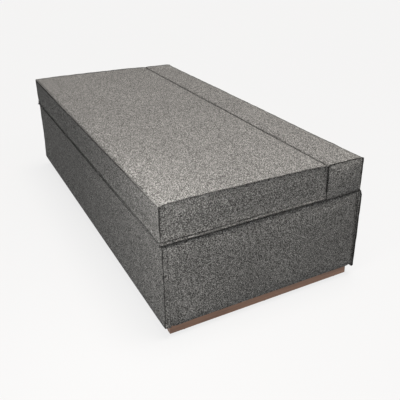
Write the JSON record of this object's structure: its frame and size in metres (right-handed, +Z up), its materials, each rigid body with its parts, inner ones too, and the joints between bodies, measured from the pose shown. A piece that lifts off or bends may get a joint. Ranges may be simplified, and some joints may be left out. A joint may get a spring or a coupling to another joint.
{
  "type": "folding ottoman bed",
  "caption": "Long upholstered ottoman on a recessed wooden plinth; its front rolls out and its top folds over to make a bed, and a narrow padded lid covers bedding storage.",
  "frame": {"origin": "on the floor, under the middle of the closed ottoman's box", "axes": "+X along the length, +Z up, and -Y towards the front that rolls out"},
  "size_m": [2, 0.916, 0.568],
  "materials": {
    "tweed_grey": "salt-and-pepper woven upholstery",
    "ticking": "woven mattress ticking",
    "felt": "pressed felt",
    "walnut": "satin lacquered walnut",
    "plywood": "clear sealed plywood",
    "beech": "planed beech",
    "black_steel": "black powder coat",
    "zinc_steel": "bright zinc plate",
    "black_rubber": "soft moulded rubber"
  },
  "bodies": {
    "base": {"plinth_left": "walnut", "plinth_right": "walnut", "plinth_rear": "walnut", "plinth_glides": "felt", "end_board_left": "plywood", "end_board_right": "plywood", "plinth_cleat_left": "plywood", "plinth_cleat_right": "plywood", "rear_board": "plywood", "bedding_floor": "plywood", "divider_board": "plywood", "cover_left": "tweed_grey", "cover_right": "tweed_grey", "cover_rear": "tweed_grey", "deck_front_rail": "black_steel", "deck_rear_ledger": "plywood", "deck_slats": "beech", "inner_mattress": "ticking", "fold_hinge_brackets": "black_steel", "lid_hinge_fixed_leaves": "zinc_steel", "slide_outer_left": "zinc_steel", "slide_outer_right": "zinc_steel"},
    "slide_middle_left": {"slide_middle_left": "zinc_steel"},
    "slide_middle_right": {"slide_middle_right": "zinc_steel"},
    "rolling_front": {"cover_front": "tweed_grey", "front_board": "plywood", "plinth_front": "walnut", "front_plinth_cleat": "plywood", "rolling_side_left": "plywood", "rolling_side_right": "plywood", "slide_inner_left": "zinc_steel", "slide_inner_right": "zinc_steel", "rolling_rear_board": "plywood", "rolling_front_ledger": "plywood", "rolling_mid_beam": "plywood", "rolling_slats": "beech", "roller_beam": "plywood", "roller_forks": "black_steel", "roller_axles": "zinc_steel"},
    "roller_left": {"roller_left": "black_rubber"},
    "roller_centre": {"roller_centre": "black_rubber"},
    "roller_right": {"roller_right": "black_rubber"},
    "fold_section": {"fold_panel": "plywood", "fold_hinge_arms": "black_steel", "fold_arm_screws": "zinc_steel", "seat_foam": "tweed_grey", "sleep_foam": "tweed_grey", "fold_hinge_pins": "zinc_steel"},
    "strip_lid": {"lid_board": "plywood", "lid_cushion": "tweed_grey", "lid_hinge_moving_leaves": "zinc_steel", "lid_hinge_pins": "zinc_steel"}
  },
  "joints": [
    {"name": "front_slide", "type": "slide", "parent": "base", "child": "rolling_front", "axis": [0, -1, 0], "range_m": [0, 0.75]},
    {"name": "slide_middle_left_slide", "type": "slide", "parent": "base", "child": "slide_middle_left", "axis": [0, -1, 0], "range_m": [0, 0.375]},
    {"name": "slide_middle_right_slide", "type": "slide", "parent": "base", "child": "slide_middle_right", "axis": [0, -1, 0], "range_m": [0, 0.375]},
    {"name": "fold_hinge", "type": "hinge", "parent": "base", "child": "fold_section", "pos_m": [0, -0.453, 0.416], "axis": [1, 0, 0], "range_deg": [0, 180]},
    {"name": "lid_hinge", "type": "hinge", "parent": "base", "child": "strip_lid", "pos_m": [0, 0.453, 0.416], "axis": [-1, 0, 0], "range_deg": [0, 95]},
    {"name": "roller_left_spin", "type": "hinge", "parent": "rolling_front", "child": "roller_left", "pos_m": [-0.88, -0.368, 0.025], "axis": [1, 0, 0], "continuous": true},
    {"name": "roller_centre_spin", "type": "hinge", "parent": "rolling_front", "child": "roller_centre", "pos_m": [0, -0.368, 0.025], "axis": [1, 0, 0], "continuous": true},
    {"name": "roller_right_spin", "type": "hinge", "parent": "rolling_front", "child": "roller_right", "pos_m": [0.88, -0.368, 0.025], "axis": [1, 0, 0], "continuous": true}
  ],
  "couplings": [
    {"joint": "slide_middle_left_slide", "follows": "front_slide", "ratio": 0.5},
    {"joint": "slide_middle_right_slide", "follows": "front_slide", "ratio": 0.5}
  ]
}
